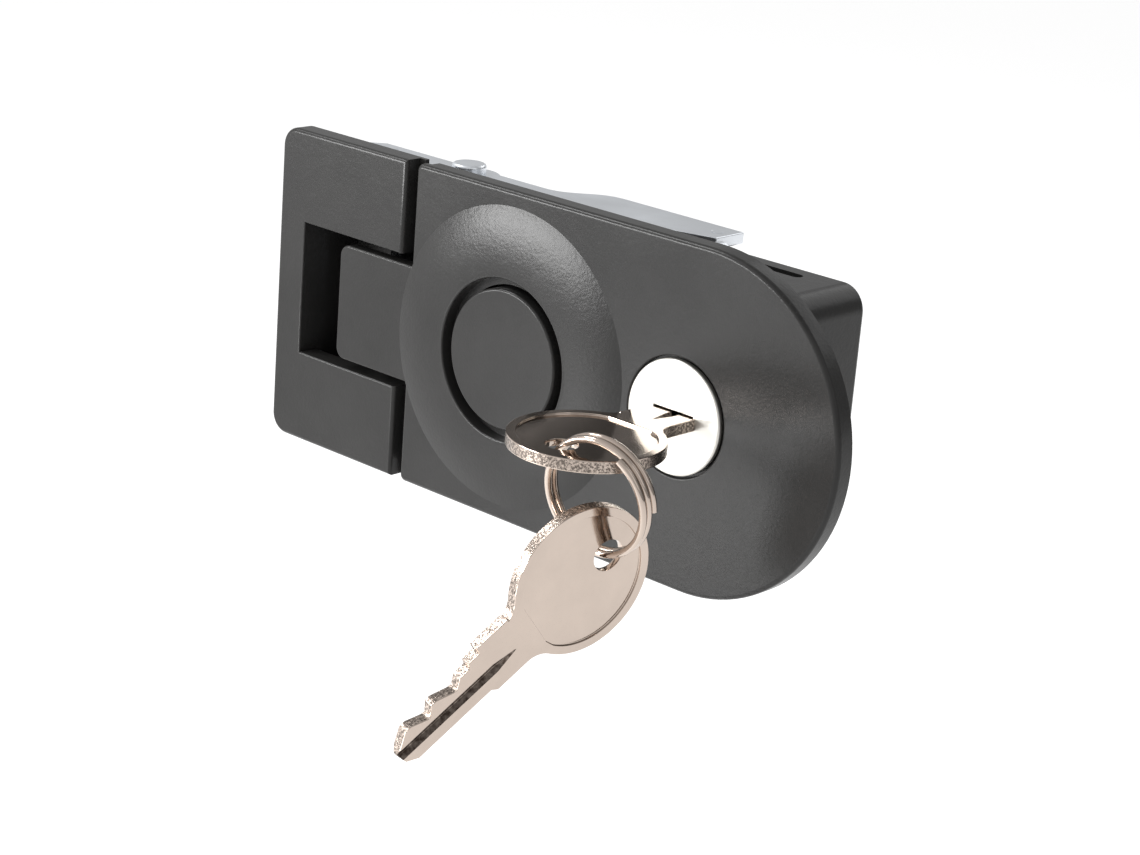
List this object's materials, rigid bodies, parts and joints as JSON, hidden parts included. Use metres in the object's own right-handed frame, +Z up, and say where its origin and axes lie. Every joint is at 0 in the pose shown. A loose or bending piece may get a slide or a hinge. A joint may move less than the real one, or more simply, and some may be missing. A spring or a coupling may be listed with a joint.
{
  "type": "touch latch",
  "caption": "Flush push-to-open lever latch for a panel door: fixed block with a finger pocket, swinging lever with a round button, key lock, sliding hook pawl and keys on a ring.",
  "frame": {"origin": "centre of the four mounting studs, on the front face of the panel", "axes": "+X along the face towards the lever's round end, +Y back through the panel, +Z up across the face"},
  "size_m": [0.1407, 0.0916, 0.0724],
  "materials": {
    "black_paint": "satin powder coat",
    "foam_rubber": "matt",
    "zinc_steel": "pale zinc plate",
    "spring_steel": "drawn wire",
    "white_nylon": "moulded",
    "lock_nickel": "bright plate",
    "wafer_brass": "stamped",
    "key_nickel": "nickel plate"
  },
  "bodies": {
    "housing": {"housing": "black_paint", "mounting_studs": "zinc_steel", "panel_gasket": "foam_rubber", "pivot_pin": "zinc_steel", "lever_spring": "spring_steel"},
    "lever": {"lever": "black_paint", "lock_barrel": "lock_nickel", "lock_clip": "spring_steel", "catch_cover": "zinc_steel", "cover_screws": "zinc_steel", "button_spring": "spring_steel", "catch_spring": "spring_steel"},
    "button": {"release_button": "black_paint", "push_wedge": "white_nylon", "wedge_screw": "zinc_steel"},
    "catch": {"catch": "zinc_steel"},
    "lock_plug": {"lock_plug": "lock_nickel", "lock_wafers": "wafer_brass", "lock_cam": "zinc_steel", "cam_washer": "zinc_steel", "cam_screw": "zinc_steel"},
    "pawl": {"pawl": "zinc_steel", "cross_pin": "zinc_steel", "pin_clip": "spring_steel", "pawl_washers": "white_nylon", "guide_pins": "zinc_steel", "nose_pad": "foam_rubber"},
    "inserted_key": {"inserted_key": "key_nickel"},
    "ring": {"key_ring": "key_nickel"},
    "spare_key": {"spare_key": "key_nickel"}
  },
  "joints": [
    {"name": "lever_hinge", "type": "hinge", "parent": "housing", "child": "lever", "pos_m": [-0.0156, -0.0008, 0], "axis": [0, 0, 1], "range_deg": [-40, 0], "deforming": ["lever_spring"]},
    {"name": "pawl_slide", "type": "slide", "parent": "housing", "child": "pawl", "axis": [1, 0, 0], "range_m": [0, 0.01357]},
    {"name": "button_press", "type": "slide", "parent": "lever", "child": "button", "axis": [0, 1, 0], "range_m": [0, 0.003], "stiffness_N_per_m": 400, "deforming": ["button_spring"]},
    {"name": "catch_slide", "type": "slide", "parent": "lever", "child": "catch", "axis": [1, 0, 0], "range_m": [0, 0.003], "deforming": ["catch_spring"]},
    {"name": "lock_turn", "type": "hinge", "parent": "lever", "child": "lock_plug", "pos_m": [0.0434, 0, 0], "axis": [0, 1, 0], "range_deg": [0, 90]},
    {"name": "key_withdraw", "type": "slide", "parent": "lock_plug", "child": "inserted_key", "axis": [0, -1, 0], "range_m": [0, 0.028]},
    {"name": "ring_swing", "type": "hinge", "parent": "inserted_key", "child": "ring", "pos_m": [0.0437, -0.0317, 0], "axis": [0.6392, -0.065, 0.7663], "range_deg": [-20, 12]},
    {"name": "spare_key_swing", "type": "hinge", "parent": "ring", "child": "spare_key", "pos_m": [0.05216, -0.02866, -0.0146], "axis": [1, 0, 0], "range_deg": [-20, 60]}
  ],
  "couplings": [
    {"joint": "pawl_slide", "follows": "lever_hinge", "m_per_rad": -0.01942},
    {"joint": "catch_slide", "follows": "button_press", "ratio": 1}
  ]
}
